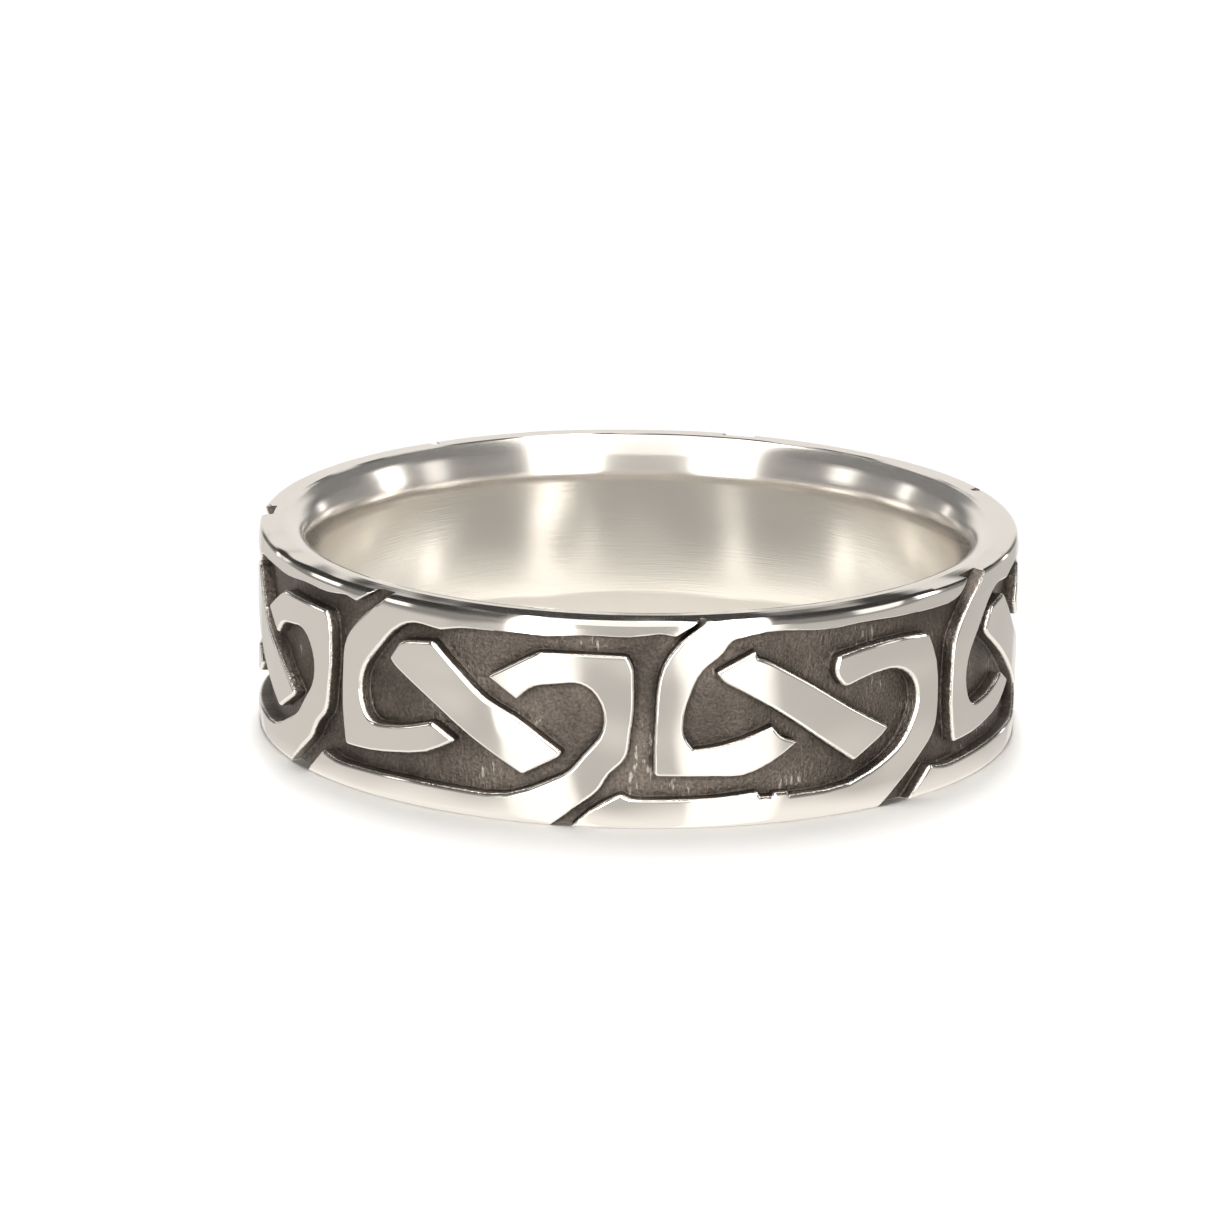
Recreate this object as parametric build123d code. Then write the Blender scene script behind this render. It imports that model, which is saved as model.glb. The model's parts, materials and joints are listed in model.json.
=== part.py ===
from build123d import *
from collections import namedtuple
from math import cos, radians, tan
import os

# A cast silver band ring with raised knotwork, lying on its lower rim.
# The axis of the ring is Z, the lower rim rests on Z = 0, and the middle of
# one gap between two knots faces -Y. Millimetres and degrees.

# Driving dimensions
finger_diameter = 18.9   # bore of the finger hole
wall = 1.6               # from the bore to the polished face of the strands
band_height = 6.0        # from the lower rim to the upper rim
relief_depth = 0.4       # how far the strands stand above the sunk ground
knot_count = 7           # knots around the band
rim_edge = 0.15          # polished round of the two outer rim corners
mouth_width = 0.78       # how far the rounded mouth of the bore eats into the rim
mouth_height = 0.95      # how far down the bore the rounded mouth reaches

# Derived sizes. The rounds give way where the metal beside them is thinner.
bore_radius = finger_diameter / 2
face_radius = bore_radius + wall
ground_radius = face_radius - relief_depth
pitch = 360 / knot_count
corner_radius = min(rim_edge, 0.9 * relief_depth)
mouth_reach = min(mouth_width, 0.9 * (wall - relief_depth))
mouth_drop = min(mouth_height, 0.45 * band_height)

# One corner of a strand's outline on the unrolled band.
#   along   share of the pitch, from the gap on the knot's left
#   up      share of the band height, from the lower rim; values under 0 and
#           over 1 run past the rims, where the strand is cut off flush
#   round   share of the room beside the corner that its arc takes up
Corner = namedtuple("Corner", "along up round")


def outline(*rows):
    return [Corner(*row) for row in rows]


# The broad knot. Its upper hook carries the upper rail, its bar crosses from
# upper left to lower right, and its lower hook carries the lower rail.
broad_upper_hook = outline(
    (1.205, 1.060, 0.0), (0.260, 1.060, 0.0), (0.095, 0.835, 0.8), (0.035, 0.720, 1.0),
    (0.026, 0.400, 1.0), (0.045, 0.210, 0.25), (0.150, 0.213, 1.0), (0.355, 0.265, 1.0),
    (0.450, 0.355, 0.2), (0.372, 0.425, 0.3), (0.250, 0.365, 1.0), (0.140, 0.355, 0.9),
    (0.105, 0.480, 1.0), (0.118, 0.610, 1.0), (0.235, 0.830, 1.0), (0.300, 0.892, 1.0),
    (0.400, 0.874, 0.3), (0.470, 0.902, 1.0), (0.630, 0.910, 1.0), (0.730, 0.902, 1.0),
    (0.830, 0.928, 1.0), (0.960, 0.918, 1.0), (1.045, 0.942, 0.5), (1.088, 0.925, 0.3),
)
broad_bar = outline(
    (0.222, 0.695, 0.5), (0.240, 0.660, 0.8), (0.390, 0.505, 1.0), (0.500, 0.378, 1.0),
    (0.655, 0.232, 0.15), (0.760, 0.330, 0.3), (0.772, 0.355, 0.9), (0.630, 0.515, 1.0),
    (0.545, 0.570, 1.0), (0.375, 0.815, 0.2), (0.262, 0.790, 0.6),
)
broad_lower_hook = outline(
    (-0.193, -0.060, 0.0), (0.690, -0.060, 0.0), (0.875, 0.175, 0.6), (0.905, 0.265, 0.8),
    (0.957, 0.335, 1.0), (0.966, 0.480, 1.0), (0.975, 0.580, 1.0), (0.972, 0.770, 0.8),
    (0.955, 0.828, 0.6), (0.830, 0.832, 1.0), (0.700, 0.827, 0.3), (0.655, 0.790, 1.0),
    (0.548, 0.690, 0.2), (0.637, 0.592, 0.2), (0.680, 0.663, 1.0), (0.835, 0.700, 1.0),
    (0.890, 0.580, 1.0), (0.886, 0.450, 1.0), (0.830, 0.350, 1.0), (0.790, 0.260, 1.0),
    (0.610, 0.120, 0.7), (0.300, 0.127, 1.0), (0.000, 0.112, 1.0), (-0.065, 0.140, 0.3),
)

# The slim knot, carved by the same hand with a slimmer bar and a nicked rail.
slim_upper_hook = outline(
    (1.150, 1.060, 0.0), (0.225, 1.060, 0.0), (0.100, 0.900, 1.0), (0.048, 0.780, 1.0),
    (0.036, 0.670, 1.0), (0.029, 0.400, 1.0), (0.031, 0.252, 0.35), (0.200, 0.248, 1.0),
    (0.285, 0.238, 0.8), (0.370, 0.290, 1.0), (0.450, 0.385, 0.2), (0.400, 0.415, 0.8),
    (0.373, 0.470, 0.2), (0.280, 0.415, 1.0), (0.200, 0.387, 1.0), (0.143, 0.380, 0.2),
    (0.115, 0.440, 0.9), (0.112, 0.550, 1.0), (0.155, 0.750, 1.0), (0.225, 0.835, 0.9),
    (0.245, 0.893, 0.9), (0.350, 0.935, 1.0), (0.450, 0.923, 1.0), (0.540, 0.904, 1.0),
    (0.650, 0.922, 1.0), (0.850, 0.905, 1.0), (1.020, 0.905, 1.0), (1.065, 0.930, 0.5),
)
slim_bar = outline(
    (0.205, 0.745, 0.3), (0.225, 0.700, 0.8), (0.380, 0.555, 1.0), (0.520, 0.385, 1.0),
    (0.635, 0.252, 0.15), (0.735, 0.350, 0.8), (0.758, 0.388, 0.2), (0.620, 0.515, 1.0),
    (0.500, 0.648, 1.0), (0.360, 0.785, 1.0), (0.325, 0.805, 0.3), (0.318, 0.838, 0.3),
)
slim_lower_hook = outline(
    (-0.235, -0.060, 0.0), (0.680, -0.060, 0.0), (0.870, 0.180, 1.0), (0.955, 0.305, 1.0),
    (0.966, 0.450, 1.0), (0.960, 0.650, 1.0), (0.915, 0.795, 0.3), (0.800, 0.808, 1.0),
    (0.660, 0.795, 1.0), (0.575, 0.768, 0.3), (0.562, 0.690, 1.0), (0.600, 0.615, 0.6),
    (0.700, 0.665, 1.0), (0.800, 0.665, 1.0), (0.865, 0.580, 1.0), (0.875, 0.450, 1.0),
    (0.820, 0.300, 1.0), (0.760, 0.235, 1.0), (0.620, 0.135, 1.0), (0.428, 0.130, 0.3),
    (0.422, 0.148, 0.3), (0.380, 0.148, 0.3), (0.375, 0.133, 0.3), (0.340, 0.135, 0.3),
    (0.330, 0.160, 0.3), (0.200, 0.140, 1.0), (-0.030, 0.140, 1.0), (-0.062, 0.167, 0.6),
    (-0.100, 0.135, 1.0), (-0.155, 0.080, 1.0),
)

broad_knot = (broad_upper_hook, broad_bar, broad_lower_hook)
slim_knot = (slim_upper_hook, slim_bar, slim_lower_hook)


def is_slim(place):
    """Slim and broad knots take turns from the -Y gap; the last place is broad."""
    return place % 2 == 0 and place < knot_count - 1


def ring_profile():
    """Half section of the plain band, from the bore out to the sunk ground."""
    mouth = bore_radius + mouth_reach
    top = band_height
    section = Line((bore_radius, mouth_drop), (bore_radius, top - mouth_drop))
    section += EllipticalCenterArc((mouth, top - mouth_drop), mouth_reach, mouth_drop, 90, arc_size=90)
    section += Polyline((mouth, top), (ground_radius, top), (ground_radius, 0), (mouth, 0))
    section += EllipticalCenterArc((mouth, mouth_drop), mouth_reach, mouth_drop, 180, arc_size=90)
    return make_face(section)


def sleeve_profile():
    """Half section of the zone that the strands fill, with rounded rim corners."""
    depth = face_radius - ground_radius
    middle = (ground_radius + depth / 2, band_height / 2)
    section = Pos(*middle) * Rectangle(depth, band_height)
    outer_corners = section.vertices().group_by(Axis.X)[-1]
    return fillet(outer_corners, corner_radius)


def rounded_wire(corners, rounds):
    """Closed wire of straight sides and tangent arcs through a ring of corners."""
    count = len(corners)
    starts = []
    ends = []
    for i, corner in enumerate(corners):
        back = corners[i - 1] - corner
        ahead = corners[(i + 1) % count] - corner
        room = rounds[i] * min(back.length, ahead.length) / 2
        starts.append(corner + back.normalized() * room)
        ends.append(corner + ahead.normalized() * room)
    edges = []
    for i, corner in enumerate(corners):
        if rounds[i] > 0:
            edges.append(Edge.make_tangent_arc(starts[i], corner - starts[i], ends[i]))
        side_end = starts[(i + 1) % count]
        if (side_end - ends[i]).length > 1e-6:
            edges.append(Edge.make_line(ends[i], side_end))
    return Wire(edges)


def strand(rows, sleeve):
    """One raised strand of the knot whose middle faces -Y, with radial walls."""
    widest = max(abs(row.along - 0.5) for row in rows) * pitch
    reaches = (0.98 * ground_radius * cos(radians(widest)), 1.02 * face_radius)
    rounds = [row.round for row in rows]
    sections = []
    for reach in reaches:
        corners = []
        for row in rows:
            across = reach * tan(radians((row.along - 0.5) * pitch))
            corners.append(Vector(across, -reach, row.up * band_height))
        sections.append(rounded_wire(corners, rounds))
    block = Solid.make_loft(sections, ruled=True)
    return (block & sleeve).solid()


def knot_band():
    """The plain band with every strand of every knot grown on it as one casting."""
    band = revolve(Plane.XZ * ring_profile(), Axis.Z).solid()
    sleeve = revolve(Plane.XZ * sleeve_profile(), Axis.Z).solid()
    slim_pieces = [strand(rows, sleeve) for rows in slim_knot]
    broad_pieces = [strand(rows, sleeve) for rows in broad_knot]
    strands = []
    for place in range(knot_count):
        turn = (place + 0.5) * pitch
        for piece in slim_pieces if is_slim(place) else broad_pieces:
            strands.append(piece.rotate(Axis.Z, turn))
    return band.fuse(*strands, glue=True).clean()


os.makedirs("parts", exist_ok=True)
ring = knot_band()
export_step(ring, "parts/knot_band.step")
print("face radius", face_radius, "ground radius", ground_radius)
print("solids", len(ring.solids()), "faces", len(ring.faces()), "volume", round(ring.volume, 3))
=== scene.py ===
# %% [markdown]
# A cast silver band ring lies on its lower rim on a pale table.
# Its outside carries raised knotwork over a sunk, darkened ground.
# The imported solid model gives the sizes, and this script dresses it for the picture.

import json
import math
from collections import namedtuple

import bmesh
import bpy
from mathutils import Matrix, Vector, noise


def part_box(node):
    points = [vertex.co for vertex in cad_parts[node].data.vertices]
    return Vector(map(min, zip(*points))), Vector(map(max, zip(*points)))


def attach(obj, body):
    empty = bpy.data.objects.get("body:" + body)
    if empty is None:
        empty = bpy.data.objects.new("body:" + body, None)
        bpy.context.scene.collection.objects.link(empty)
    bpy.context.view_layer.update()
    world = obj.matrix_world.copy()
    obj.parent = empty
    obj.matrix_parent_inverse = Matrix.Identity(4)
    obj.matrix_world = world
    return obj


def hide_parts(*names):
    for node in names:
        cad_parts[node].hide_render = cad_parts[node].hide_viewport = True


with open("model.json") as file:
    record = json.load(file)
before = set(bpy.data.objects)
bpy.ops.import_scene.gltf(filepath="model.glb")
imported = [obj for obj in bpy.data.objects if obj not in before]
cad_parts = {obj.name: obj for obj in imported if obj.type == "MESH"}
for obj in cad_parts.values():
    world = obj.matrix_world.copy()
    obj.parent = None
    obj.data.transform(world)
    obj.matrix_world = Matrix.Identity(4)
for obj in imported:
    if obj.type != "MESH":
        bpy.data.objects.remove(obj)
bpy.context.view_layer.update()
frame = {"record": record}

# %% [markdown]
# The bore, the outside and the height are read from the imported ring, so the dressed ring fits it.
# The finer sizes aren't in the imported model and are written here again. All but one are the solid's
# own: its mouth is 0.95 mm deep, and here it reaches 1.3 mm, as far as the real one's highlights do.
# The shaping is done in millimetres, because a ring's details are tenths of a millimetre and
# the fill operators treat points nearer than 0.03 of a unit as one point.

# %% Sizes of the ring, in millimetres
mm = 0.001
low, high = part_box("knot_band")
bore_mount = next(m for m in frame["record"]["mounts"] if m["name"] == "finger_bore")
bore_radius = bore_mount["dims"]["r_mm"]
face_radius = (high.x - low.x) / 2 / mm
band_height = (high.z - low.z) / mm
mouth_drop = 1.3          # how far down the bore the rounded mouth reaches before it is quite upright
mouth_reach = 0.78        # how far the rounded mouth of the bore eats into the rim
relief_depth = 0.4        # how far the strands stand above the ground
rim_edge = 0.15           # polished round of the outer rim corners
knot_count = 7
ground_radius = face_radius - relief_depth
girth = 2 * math.pi * face_radius
pitch = girth / knot_count
print("face radius", round(face_radius, 3), "height", round(band_height, 3), "girth", round(girth, 2))

# %% [markdown]
# The knotwork was cut by hand in the wax or the model that the ring was cast from, so no corner
# repeats exactly. Each strand is a closed outline on the unrolled band. A row holds a corner as
# shares of the knot's pitch and of the band's height, and how much of the room beside it is rounded.
# Two knots, a broad one and a slim one, take turns around the band.

# %% Outlines of the strands
Corner = namedtuple("Corner", "along up round")


def outline(*rows):
    return [Corner(*row) for row in rows]


broad_upper_hook = outline(
    (1.205, 1.060, 0.0), (0.260, 1.060, 0.0), (0.095, 0.835, 0.8), (0.035, 0.720, 1.0),
    (0.026, 0.400, 1.0), (0.045, 0.210, 0.25), (0.150, 0.213, 1.0), (0.355, 0.265, 1.0),
    (0.450, 0.355, 0.2), (0.372, 0.425, 0.3), (0.250, 0.365, 1.0), (0.140, 0.355, 0.9),
    (0.105, 0.480, 1.0), (0.118, 0.610, 1.0), (0.235, 0.830, 1.0), (0.300, 0.892, 1.0),
    (0.400, 0.874, 0.3), (0.470, 0.902, 1.0), (0.630, 0.910, 1.0), (0.730, 0.902, 1.0),
    (0.830, 0.928, 1.0), (0.960, 0.918, 1.0), (1.045, 0.942, 0.5), (1.088, 0.925, 0.3),
)
broad_bar = outline(
    (0.222, 0.695, 0.5), (0.240, 0.660, 0.8), (0.390, 0.505, 1.0), (0.500, 0.378, 1.0),
    (0.655, 0.232, 0.15), (0.760, 0.330, 0.3), (0.772, 0.355, 0.9), (0.630, 0.515, 1.0),
    (0.545, 0.570, 1.0), (0.375, 0.815, 0.2), (0.262, 0.790, 0.6),
)
broad_lower_hook = outline(
    (-0.193, -0.060, 0.0), (0.690, -0.060, 0.0), (0.875, 0.175, 0.6), (0.905, 0.265, 0.8),
    (0.957, 0.335, 1.0), (0.966, 0.480, 1.0), (0.975, 0.580, 1.0), (0.972, 0.770, 0.8),
    (0.955, 0.828, 0.6), (0.830, 0.832, 1.0), (0.700, 0.827, 0.3), (0.655, 0.790, 1.0),
    (0.548, 0.690, 0.2), (0.637, 0.592, 0.2), (0.680, 0.663, 1.0), (0.835, 0.700, 1.0),
    (0.890, 0.580, 1.0), (0.886, 0.450, 1.0), (0.830, 0.350, 1.0), (0.790, 0.260, 1.0),
    (0.610, 0.120, 0.7), (0.300, 0.127, 1.0), (0.000, 0.112, 1.0), (-0.065, 0.140, 0.3),
)
slim_upper_hook = outline(
    (1.150, 1.060, 0.0), (0.225, 1.060, 0.0), (0.100, 0.900, 1.0), (0.048, 0.780, 1.0),
    (0.036, 0.670, 1.0), (0.029, 0.400, 1.0), (0.031, 0.252, 0.35), (0.200, 0.248, 1.0),
    (0.285, 0.238, 0.8), (0.370, 0.290, 1.0), (0.450, 0.385, 0.2), (0.400, 0.415, 0.8),
    (0.373, 0.470, 0.2), (0.280, 0.415, 1.0), (0.200, 0.387, 1.0), (0.143, 0.380, 0.2),
    (0.115, 0.440, 0.9), (0.112, 0.550, 1.0), (0.155, 0.750, 1.0), (0.225, 0.835, 0.9),
    (0.245, 0.893, 0.9), (0.350, 0.935, 1.0), (0.450, 0.923, 1.0), (0.540, 0.904, 1.0),
    (0.650, 0.922, 1.0), (0.850, 0.905, 1.0), (1.020, 0.905, 1.0), (1.065, 0.930, 0.5),
)
slim_bar = outline(
    (0.205, 0.745, 0.3), (0.225, 0.700, 0.8), (0.380, 0.555, 1.0), (0.520, 0.385, 1.0),
    (0.635, 0.252, 0.15), (0.735, 0.350, 0.8), (0.758, 0.388, 0.2), (0.620, 0.515, 1.0),
    (0.500, 0.648, 1.0), (0.360, 0.785, 1.0), (0.325, 0.805, 0.3), (0.318, 0.838, 0.3),
)
slim_lower_hook = outline(
    (-0.235, -0.060, 0.0), (0.680, -0.060, 0.0), (0.870, 0.180, 1.0), (0.955, 0.305, 1.0),
    (0.966, 0.450, 1.0), (0.960, 0.650, 1.0), (0.915, 0.795, 0.3), (0.800, 0.808, 1.0),
    (0.660, 0.795, 1.0), (0.575, 0.768, 0.3), (0.562, 0.690, 1.0), (0.600, 0.615, 0.6),
    (0.700, 0.665, 1.0), (0.800, 0.665, 1.0), (0.865, 0.580, 1.0), (0.875, 0.450, 1.0),
    (0.820, 0.300, 1.0), (0.760, 0.235, 1.0), (0.620, 0.135, 1.0), (0.428, 0.130, 0.3),
    (0.422, 0.148, 0.3), (0.380, 0.148, 0.3), (0.375, 0.133, 0.3), (0.340, 0.135, 0.3),
    (0.330, 0.160, 0.3), (0.200, 0.140, 1.0), (-0.030, 0.140, 1.0), (-0.062, 0.167, 0.6),
    (-0.100, 0.135, 1.0), (-0.155, 0.080, 1.0),
)
broad_knot = (broad_upper_hook, broad_bar, broad_lower_hook)
slim_knot = (slim_upper_hook, slim_bar, slim_lower_hook)


def knot_at(place):
    """Slim and broad knots take turns; the last place is a broad one."""
    place %= knot_count
    return slim_knot if place % 2 == 0 and place < knot_count - 1 else broad_knot


# %% [markdown]
# A cast strand has no knife edge: its walls rise from the ground with a small fillet, and tumbling
# and polishing round its top edge over. A bevel after the outline is rounded would fold over itself in
# corners tighter than the bevel. So the section of the edge is a short table of levels instead, and at
# each level the outline is moved inwards and its corners keep arcs about the same centres.

# %% Levels of a strand's edge
Level = namedtuple("Level", "inset rise")
base_fillet = 0.05        # mm, where the wall meets the ground
fillet_middle = 0.3       # where the fillet's middle point lies, as a share of it
top_round = 0.10          # mm, round of the top edge
round_steps = 4


def edge_levels():
    """Section of a strand's edge, from the ground up to its flat top."""
    levels = [
        Level(-base_fillet, 0.0),
        Level(-fillet_middle * base_fillet, fillet_middle * base_fillet),
        Level(0.0, base_fillet),
    ]
    for step in range(round_steps + 1):
        turn = math.radians(90) * step / round_steps
        inset = top_round * (1 - math.cos(turn))
        rise = relief_depth - top_round * (1 - math.sin(turn))
        levels.append(Level(inset, rise))
    return levels


levels = edge_levels()
print("levels of a strand's edge", [(round(level.inset, 3), round(level.rise, 3)) for level in levels])

# %% Rounded outline at a level
arc_step = math.radians(14)
tightest = 0.012          # mm, the smallest radius that an arc shrinks to
tiny = 1e-4               # mm, points nearer than this are at one place


def rounded(corners, rounds, inset):
    """Points of a closed outline moved inwards by inset, with arcs at its corners."""
    count = len(corners)
    sides = [corners[(i + 1) % count] - corners[i] for i in range(count)]
    rooms = [rounds[i] * min(sides[i - 1].length, sides[i].length) / 2 for i in range(count)]
    points = []
    for i, corner in enumerate(corners):
        into = sides[i - 1].normalized()
        away = sides[i].normalized()
        turn = into.angle_signed(away) * -1
        left_in = Vector((-into.y, into.x))
        left_out = Vector((-away.y, away.x))
        moved = corner + (left_in + left_out) * inset / (1 + left_in.dot(left_out))
        if rounds[i] == 0:
            points.append(moved)
            continue
        half = math.tan(abs(turn) / 2)
        bend = math.copysign(1, turn)
        radius = max(rooms[i] / half - bend * inset, tightest)
        start = moved - into * radius * half
        centre = start + left_in * radius * bend
        steps = max(2, math.ceil(abs(turn) / arc_step))
        gap = sides[i - 1].length - rooms[i - 1] - rooms[i]
        for step in range(1 if gap < tiny else 0, steps + 1):
            arm = start - centre
            arm.rotate(Matrix.Rotation(turn * step / steps, 2))
            points.append(centre + arm)
    return points


# %% [markdown]
# The knotwork is shaped flat, as if the band were cut at the back and unrolled: X runs along the
# face, -Y is outwards from the bore's axis and Z is up. Each strand starts as one flat face at the
# ground and is extruded from level to level. The copies left behind are deleted, so each strand is a
# shell that is open below, where the ground joins.

# %% Raise the strands on the flat strip
trim_snap = 1e-6          # mm, points this near the trimming plane are on it


def raise_strand(bm, rows, place):
    """One strand of a knot, grown from the ground through every level."""
    corners = [Vector(((place + row.along) * pitch, row.up * band_height)) for row in rows]
    rounds = [row.round for row in rows]
    foot = rounded(corners, rounds, levels[0].inset)
    face = bm.faces.new([bm.verts.new((p.x, -ground_radius, p.y)) for p in foot])
    for level in levels[1:]:
        grown = bmesh.ops.extrude_face_region(bm, geom=[face])
        bmesh.ops.delete(bm, geom=[face], context="FACES_ONLY")
        face = next(item for item in grown["geom"] if isinstance(item, bmesh.types.BMFace))
        points = rounded(corners, rounds, level.inset)
        for vert, point in zip(face.verts, points, strict=True):
            vert.co = (point.x, -ground_radius - level.rise, point.y)


def everything(bm):
    return bm.verts[:] + bm.edges[:] + bm.faces[:]


band = bmesh.new()
for place in range(-1, knot_count + 1):
    for rows in knot_at(place):
        raise_strand(band, rows, place)
for level, side in ((0, -1), (band_height, 1)):
    bmesh.ops.bisect_plane(
        band, geom=everything(band), dist=trim_snap, plane_co=(0, 0, level),
        plane_no=(0, 0, side), clear_outer=True,
    )
print("strands: vertices", len(band.verts), "faces", len(band.faces))

# %% [markdown]
# The ground is one flat face with the strands' feet as its holes, so a fill operator makes it from
# the edges around it. Along each rim the ground's border runs from the foot of one strand to the next.

# %% Fill the ground between the strands
strip_start = -1.5 * pitch
strip_end = (knot_count + 1.5) * pitch


def on_ground(vert):
    return abs(vert.co.y + ground_radius) < tiny


def at_height(vert, height):
    return abs(vert.co.z - height) < tiny


feet = [edge for edge in band.edges if edge.is_boundary and all(on_ground(v) for v in edge.verts)]
border = list(feet)
strip_corners = []
for height in (0, band_height):
    ends = [band.verts.new((x, -ground_radius, height)) for x in (strip_start, strip_end)]
    strip_corners.append(ends)
    line = [v for v in band.verts if on_ground(v) and at_height(v, height)]
    line.sort(key=lambda v: v.co.x)
    for left, right in zip(line[0::2], line[1::2]):
        border.append(band.edges.new((left, right)))
for lower, upper in zip(*strip_corners):
    border.append(band.edges.new((lower, upper)))
filled = bmesh.ops.triangle_fill(band, use_beauty=True, edges=border, normal=(0, -1, 0))
print("ground faces", sum(isinstance(item, bmesh.types.BMFace) for item in filled["geom"]))

# %% [markdown]
# The rims are flat and the bore has a comfort mouth: an elliptical round that keeps the edge off the
# finger. The mouths and the bore are one edge, extruded step by step along the section of the bore.

# %% Close the rims and the bore
mouth_steps = 10


def bore_section():
    """(radius, height) from the upper rim down the bore to the lower rim."""
    upper = []
    for step in range(mouth_steps + 1):
        turn = math.radians(90) * step / mouth_steps
        radius = bore_radius + mouth_reach * (1 - math.sin(turn))
        upper.append((radius, band_height - mouth_drop * (1 - math.cos(turn))))
    lower = [(radius, band_height - height) for radius, height in reversed(upper)]
    return upper + lower


section = bore_section()
first_radius, first_height = section[0]
ends = [band.verts.new((x, -first_radius, first_height)) for x in (strip_start, strip_end)]
edge = band.edges.new(ends)
lips = [edge]
for radius, height in section[1:]:
    grown = bmesh.ops.extrude_edge_only(band, edges=[edge])
    edge = next(item for item in grown["geom"] if isinstance(item, bmesh.types.BMEdge)
                and item.is_boundary and item not in lips)
    for vert in edge.verts:
        vert.co = (vert.co.x, -radius, height)
lips.append(edge)
for lip, height, corners in zip(lips, (band_height, 0), reversed(strip_corners)):
    chain = [e for e in band.edges if e.is_boundary and all(at_height(v, height) for v in e.verts)]
    outer = sorted(corners, key=lambda v: v.co.x)
    inner = sorted(lip.verts, key=lambda v: v.co.x)
    sides = [band.edges.new(pair) for pair in zip(outer, inner)]
    bmesh.ops.edgeloop_fill(band, edges=chain + sides)
print("closed strip: vertices", len(band.verts), "faces", len(band.faces))

# %% [markdown]
# Knots reach over into their neighbours, so the strip was made longer than one turn. It is cut to
# exactly one turn now: both ends show the same section, and they meet when the strip is wrapped.
# Cuts across and along it then let the flat faces bend around the finger.

# %% Cut to one turn and slice into columns and rows
columns = 360
row_count = 24
rim_steps = 5
rim_rings = 6             # parts that the flat of each rim is cut into
widest_edge = 2.2 * rim_edge
crest_radius = bore_radius + mouth_reach
cut_snap = 2e-5           # mm, points this near a cut are on it


def slice_strip(bm, point, normal, clear=False):
    bmesh.ops.bisect_plane(
        bm, geom=everything(bm), dist=cut_snap, plane_co=point, plane_no=normal, clear_outer=clear,
    )


def with_parts(faces):
    """Faces with their points and edges, each once and in the order of the faces."""
    return list(dict.fromkeys(part for face in faces for part in (*face.verts, *face.edges, face)))


slice_strip(band, (0, 0, 0), (-1, 0, 0), clear=True)
slice_strip(band, (girth, 0, 0), (1, 0, 0), clear=True)
rows = [band_height * row / row_count for row in range(1, row_count)]
for step in range(rim_steps):
    turn = math.radians(90) * step / rim_steps
    drop = widest_edge * (1 - math.sin(turn))
    rows += [drop, band_height - drop]
for height in sorted(rows):
    slice_strip(band, (0, 0, height), (0, 0, 1))
for step in range(1, rim_rings):
    radius = crest_radius + (face_radius - crest_radius) * step / rim_rings
    for height in (0, band_height):
        flat = [face for face in band.faces if all(at_height(v, height) for v in face.verts)]
        bmesh.ops.bisect_plane(
            band, geom=with_parts(flat), dist=cut_snap, plane_co=(0, -radius, 0),
            plane_no=(0, 1, 0),
        )


def slice_columns(bm, faces, places):
    """Cuts faces at each place along X, and halves the list so that a cut meets few faces."""
    if not places:
        return
    middle = len(places) // 2
    place = places[middle]
    cut = bmesh.ops.bisect_plane(
        bm, geom=with_parts(faces), dist=cut_snap, plane_co=(place, 0, 0), plane_no=(1, 0, 0),
    )
    pieces = [item for item in cut["geom"] if isinstance(item, bmesh.types.BMFace)]
    left = [face for face in pieces if face.calc_center_median().x < place]
    right = [face for face in pieces if face.calc_center_median().x > place]
    slice_columns(bm, left, places[:middle])
    slice_columns(bm, right, places[middle + 1:])


slice_columns(band, band.faces[:], [girth * column / columns for column in range(1, columns)])
print("sliced strip: vertices", len(band.verts), "faces", len(band.faces))

# %% [markdown]
# The wheel that polished the ring rolled everything off a little towards the outer rim corners. The
# rails slope off over the last 0.75 mm. The corner is a round of about 0.15 mm that the hand left
# wider in some places, most of all left of the front. The upper rim falls away outwards from a
# crest beside the bore, more so at the front than at the back. The lower rim is flat and its corner
# narrower, because the ring rests on it. Near the rims every point is held under that line, which
# trims strands, walls and their soft edges alike.

# %% Roll off the rails and the rims
roll_off = 0.75           # how far from the rim the wheel has rolled the rails off
roll_drop = 0.06          # how much lower the face is there
rest_edge = 0.6           # round of the lower rim's corner, as a share of the upper one's
crown_drop = 0.05         # how much lower the upper rim is at its outer corner than at its crest
crown_tilt = 0.03         # how much more than that at the front, and less at the back
worn_place = math.radians(-29)   # where the corner is widest, from the front to the right
worn_share = 0.5          # how much wider, as a share of the round
worn_reach = math.radians(14)
usual_edge = 0.8          # middle of the corner's width as it wanders, as a share of the round
least_edge = 0.5          # and the least that it may be
wander_pace = 1.9         # how quickly it wanders around the ring
wander_slice = 4.3        # where the noise is cut, which picks one wander out of many
crown_depth = 0.6         # how far down the band the points follow the crown


def edge_at(angle):
    """Radius of the rim corner, which changes slowly around the ring as the hand left it."""
    wander = noise.noise((wander_pace * math.sin(angle), wander_pace * math.cos(angle), wander_slice))
    off_place = math.remainder(angle - worn_place, math.tau) / worn_reach
    worn = max(0.0, 1 - off_place ** 2)
    share = max(least_edge, usual_edge + wander) + worn_share * worn
    return min(widest_edge, rim_edge * share)


def face_limit(from_rim):
    """Radius of the polished face at a distance from the rim, before the corner's round."""
    if from_rim >= roll_off:
        return face_radius
    return face_radius - roll_drop * (1 - from_rim / roll_off) ** 2


def rim_limit(height, edge):
    """Largest radius allowed at a height by the roll-off and the round of the rim corner."""
    from_rim = min(height, band_height - height)
    limit = face_limit(from_rim)
    if height < band_height / 2:
        edge *= rest_edge
    into = edge - from_rim
    if into > 0:
        limit -= edge - math.sqrt(max(edge ** 2 - into ** 2, 0))
    return limit


def crown_slope(angle):
    """How steeply the upper rim falls away outwards from its crest."""
    return (crown_drop + crown_tilt * math.cos(angle)) / (face_radius - crest_radius)


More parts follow.
